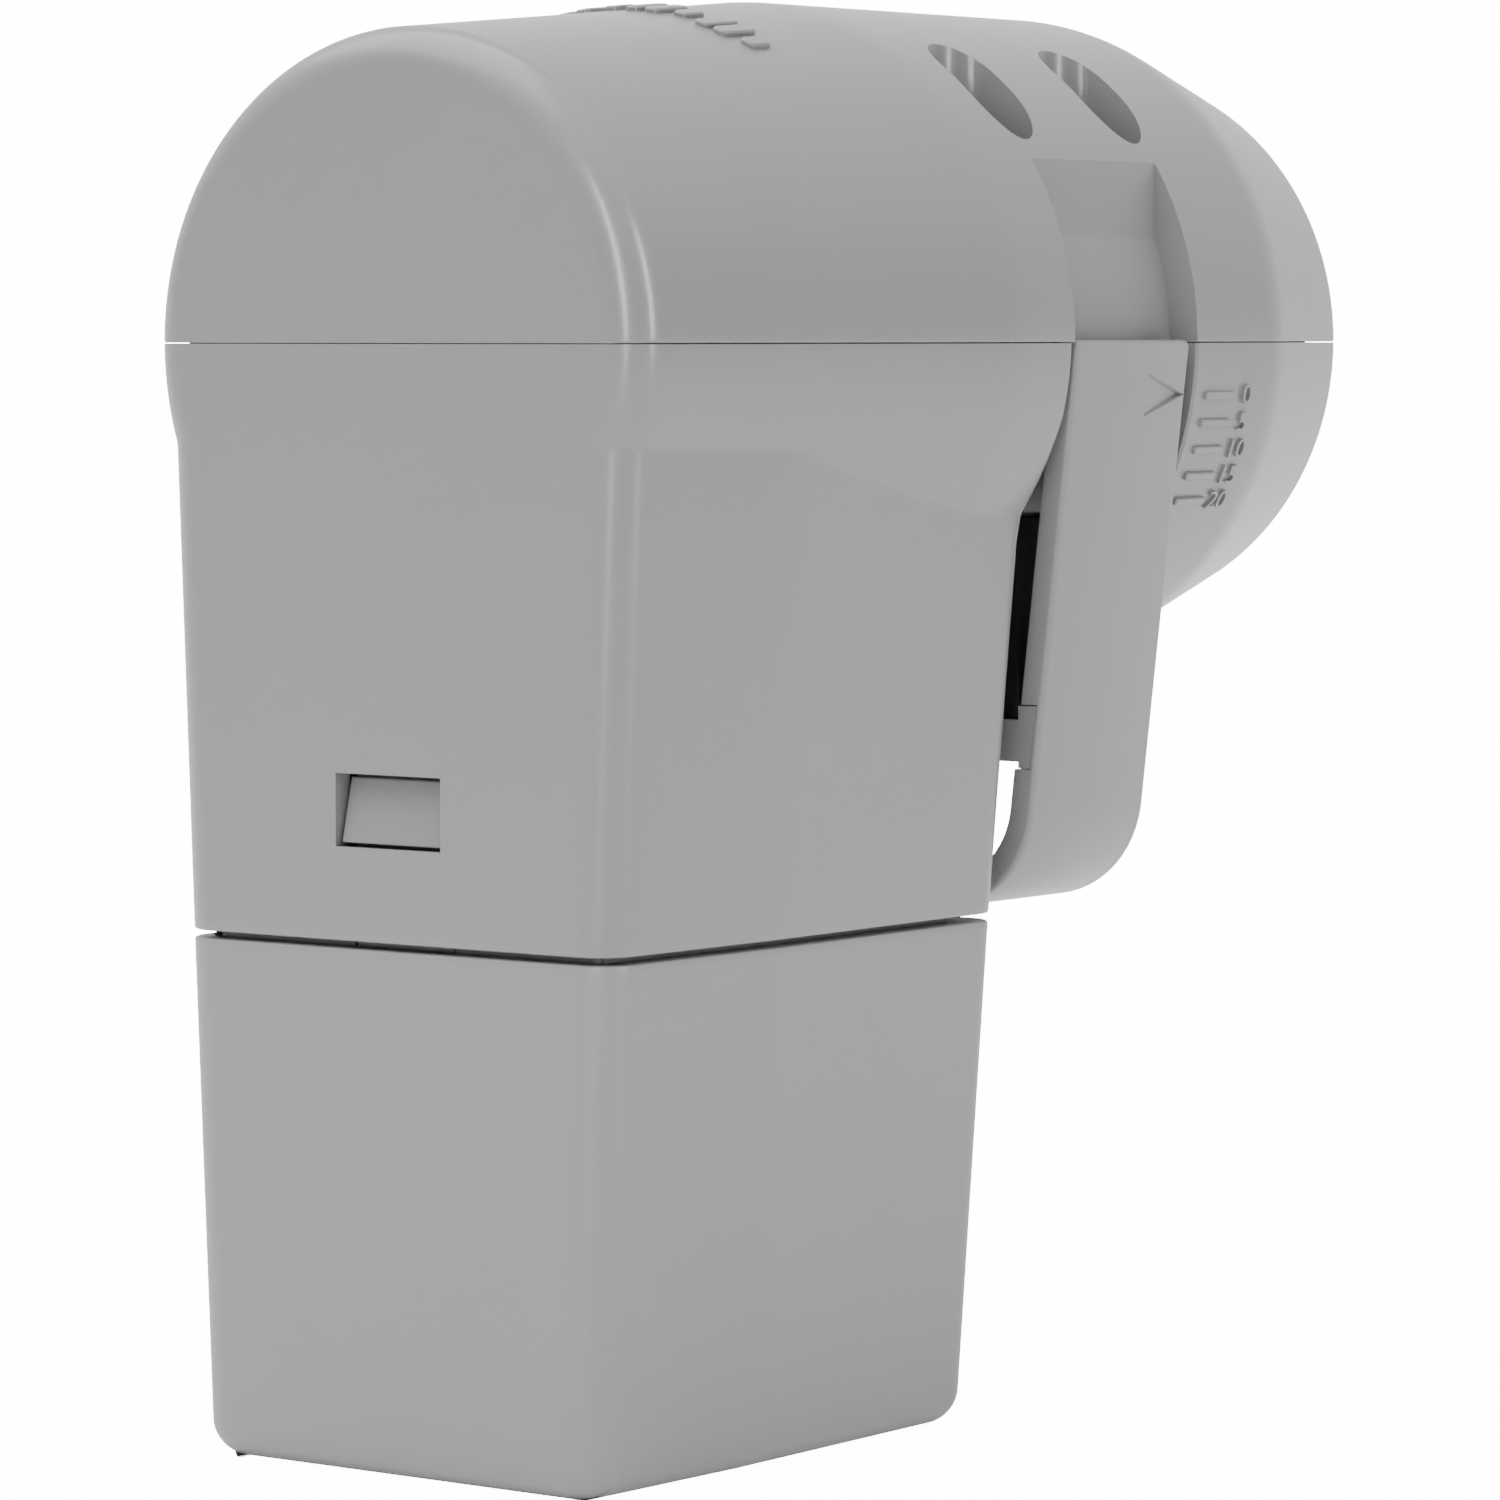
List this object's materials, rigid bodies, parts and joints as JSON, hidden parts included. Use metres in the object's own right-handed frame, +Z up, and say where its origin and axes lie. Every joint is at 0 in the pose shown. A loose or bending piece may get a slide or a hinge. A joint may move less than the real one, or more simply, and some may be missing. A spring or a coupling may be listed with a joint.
{
  "type": "satellite low-noise converter",
  "caption": "Satellite dish feed: clam-shell housing with a round nose, sliding weather cover over the connectors and a U-shaped yoke that turns for skew.",
  "frame": {"origin": "centre of the bounding box at its lowest plane, under the weather cover and the horn", "axes": "+Z up along the box and cover, +X forward along the feed horn towards the dish, +Y across the drum"},
  "size_m": [0.1428, 0.0766, 0.1583],
  "materials": {
    "housing_plastic": "satin moulded, UV-stable grey",
    "cap_plastic": "satin moulded grey",
    "black_plastic": "matt moulded black",
    "rubber": "matt",
    "cast_metal": "as cast, fine grain",
    "steel": "zinc plated",
    "nickel": "nickel plated",
    "brass": "plated contact",
    "circuit_board": "solder mask",
    "insulator": "smooth"
  },
  "bodies": {
    "housing": {"upper_shell": "housing_plastic", "lower_shell": "housing_plastic", "radome_cap": "cap_plastic", "cap_seal": "rubber", "case_gasket": "rubber", "case_pad_1": "rubber", "case_pad_2": "rubber", "case_pad_3": "rubber", "case_pad_4": "rubber", "feed_horn": "cast_metal", "lnb_case": "cast_metal", "case_lid": "cast_metal", "housing_screw_1": "steel", "housing_screw_2": "steel", "housing_screw_3": "steel", "housing_screw_4": "steel", "case_lid_screw_1": "steel", "case_lid_screw_2": "steel", "case_lid_screw_3": "steel", "case_lid_screw_4": "steel", "shield_can": "nickel", "f_connector_1": "nickel", "f_connector_2": "nickel", "f_connector_3": "nickel", "f_connector_4": "nickel", "probe_pin_1": "brass", "probe_pin_2": "brass", "connector_contact_1": "brass", "connector_contact_2": "brass", "connector_contact_3": "brass", "connector_contact_4": "brass", "circuit_board": "circuit_board", "connector_insulator_1": "insulator", "connector_insulator_2": "insulator", "connector_insulator_3": "insulator", "connector_insulator_4": "insulator"},
    "yoke": {"yoke": "housing_plastic", "cross_bar": "housing_plastic", "neck_clamp": "black_plastic", "neck_ring_cap": "black_plastic", "neck_ring_screw_1": "steel", "neck_ring_screw_2": "steel", "bar_screw_1": "steel", "bar_screw_2": "steel"},
    "cover": {"weather_cover": "housing_plastic"},
    "latch": {"latch_tongue": "housing_plastic"}
  },
  "joints": [
    {"name": "skew_turn", "type": "hinge", "parent": "housing", "child": "yoke", "pos_m": [0.01395, 0, 0.1203], "axis": [1, 0, 0], "range_deg": [-20, 20]},
    {"name": "cover_slide", "type": "slide", "parent": "housing", "child": "cover", "axis": [0, 0, -1], "range_m": [0, 0.06]},
    {"name": "latch_flex", "type": "hinge", "parent": "cover", "child": "latch", "pos_m": [-0.06775, 0, 0.0529], "axis": [0, 1, 0], "range_deg": [0, 6], "stiffness_Nm_per_rad": 0.2}
  ]
}
